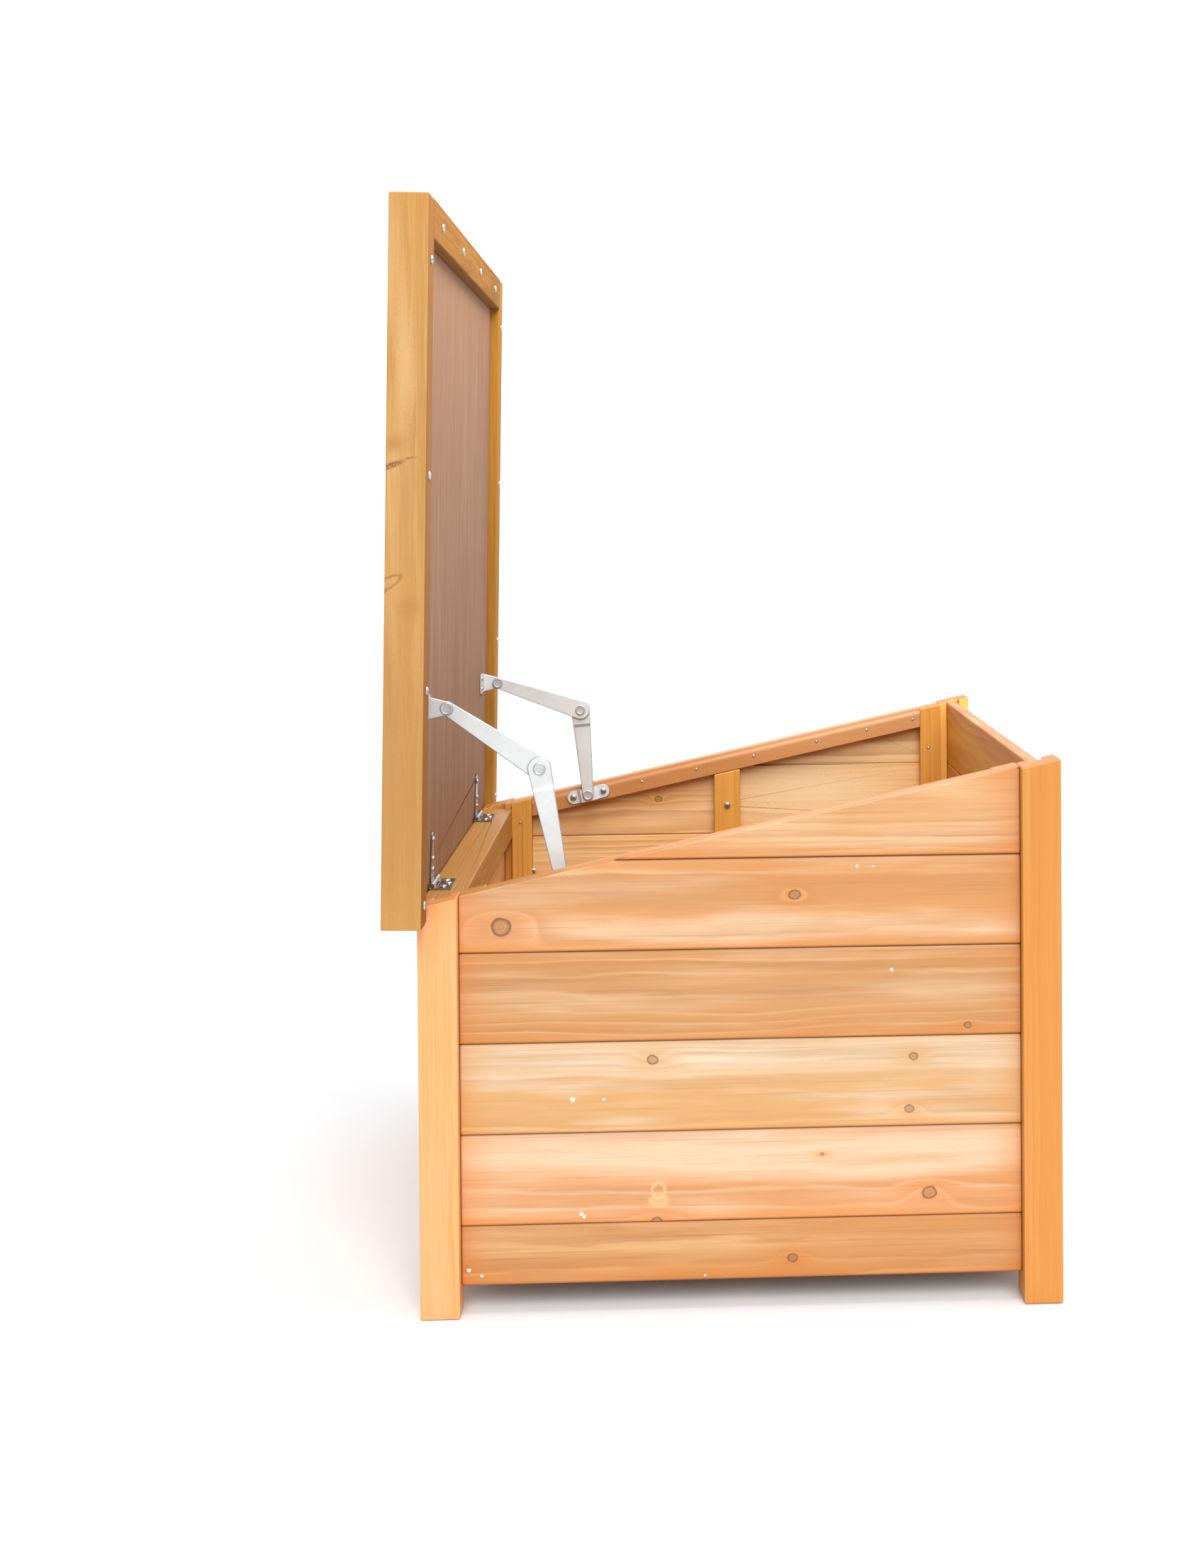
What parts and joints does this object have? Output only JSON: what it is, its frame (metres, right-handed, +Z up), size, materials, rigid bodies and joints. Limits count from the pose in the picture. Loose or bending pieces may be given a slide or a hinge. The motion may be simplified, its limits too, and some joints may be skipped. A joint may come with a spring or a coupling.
{
  "type": "wooden toy box",
  "caption": "Plank toy box with a sloped top, corner legs and a framed lid that swings up on strap hinges, held by folding stays.",
  "frame": {"origin": "on the ground under the middle of the bounding box, with the lid open as at rest", "axes": "+X from the hinge side to the high front, +Y to the right side seen from the front, +Z up"},
  "size_m": [0.5186, 0.572, 0.8526],
  "materials": {
    "panel_wood": "varnished light orange pine, satin",
    "leg_wood": "varnished pine, satin",
    "rail_wood": "varnished pine, satin, in the shade of the box",
    "lid_wood": "varnished ochre pine, satin",
    "plywood": "pinkish brown veneer, matt",
    "zinc_steel": "pale zinc plate, dull",
    "nickel_steel": "bright nickel plate"
  },
  "bodies": {
    "box": {"leg_back_left": "leg_wood", "leg_back_right": "leg_wood", "leg_front_left": "leg_wood", "leg_front_right": "leg_wood", "left_plank_1": "panel_wood", "left_plank_2": "panel_wood", "left_plank_3": "panel_wood", "left_plank_4": "panel_wood", "left_plank_5": "panel_wood", "left_plank_6": "panel_wood", "right_plank_1": "panel_wood", "right_plank_2": "panel_wood", "right_plank_3": "panel_wood", "right_plank_4": "panel_wood", "right_plank_5": "panel_wood", "right_plank_6": "panel_wood", "front_plank_1": "panel_wood", "front_plank_2": "panel_wood", "front_plank_3": "panel_wood", "front_plank_4": "panel_wood", "front_plank_5": "panel_wood", "front_plank_6": "panel_wood", "back_plank_1": "panel_wood", "back_plank_2": "panel_wood", "back_plank_3": "panel_wood", "back_plank_4": "panel_wood", "hinge_rail": "rail_wood", "side_rail_left": "rail_wood", "side_rail_right": "rail_wood", "side_battens": "rail_wood", "floor_panel": "plywood", "floor_bearers": "rail_wood", "hinge_leaf_left": "nickel_steel", "hinge_leaf_right": "nickel_steel", "hinge_pins": "nickel_steel", "box_bracket_left": "zinc_steel", "box_bracket_right": "zinc_steel", "box_pivot_rivets": "zinc_steel", "box_screws": "nickel_steel", "panel_nails": "nickel_steel"},
    "lid": {"lid_side_left": "lid_wood", "lid_side_right": "lid_wood", "lid_front_member": "lid_wood", "lid_back_member": "lid_wood", "lid_lining": "plywood", "lid_boards": "lid_wood", "hinge_strap_left": "nickel_steel", "hinge_strap_right": "nickel_steel", "lid_bracket_left": "zinc_steel", "lid_bracket_right": "zinc_steel", "lid_pivot_rivets": "zinc_steel", "lid_screws": "nickel_steel"},
    "lower_arm_left": {"lower_arm_left": "zinc_steel", "lower_rivet_left": "zinc_steel"},
    "upper_arm_left": {"upper_arm_left": "zinc_steel", "upper_rivet_left": "zinc_steel"},
    "lower_arm_right": {"lower_arm_right": "zinc_steel", "lower_rivet_right": "zinc_steel"},
    "upper_arm_right": {"upper_arm_right": "zinc_steel", "upper_rivet_right": "zinc_steel"}
  },
  "joints": [
    {"name": "lid_hinge", "type": "hinge", "parent": "box", "child": "lid", "pos_m": [-0.23527, 0, 0.3177], "axis": [0, 1, 0], "range_deg": [0, 77]},
    {"name": "lower_stay_left", "type": "hinge", "parent": "box", "child": "lower_arm_left", "pos_m": [-0.13027, -0.2122, 0.32927], "axis": [0, 1, 0], "range_deg": [0, 171.5]},
    {"name": "upper_stay_left", "type": "hinge", "parent": "lid", "child": "upper_arm_left", "pos_m": [-0.21854, -0.2122, 0.46238], "axis": [0, 1, 0], "range_deg": [-14.8, 0]},
    {"name": "lower_stay_right", "type": "hinge", "parent": "box", "child": "lower_arm_right", "pos_m": [-0.13027, 0.2122, 0.32927], "axis": [0, 1, 0], "range_deg": [0, 175.9]},
    {"name": "upper_stay_right", "type": "hinge", "parent": "lid", "child": "upper_arm_right", "pos_m": [-0.21894, 0.2122, 0.44339], "axis": [0, 1, 0], "range_deg": [-1.5, 0]}
  ],
  "couplings": [
    {"joint": "lower_stay_left", "follows": "lid_hinge", "ratio": 2.2191},
    {"joint": "upper_stay_left", "follows": "lid_hinge", "ratio": -0.18431},
    {"joint": "lower_stay_right", "follows": "lid_hinge", "ratio": 2.2771},
    {"joint": "upper_stay_right", "follows": "lid_hinge", "ratio": -0.011938}
  ]
}
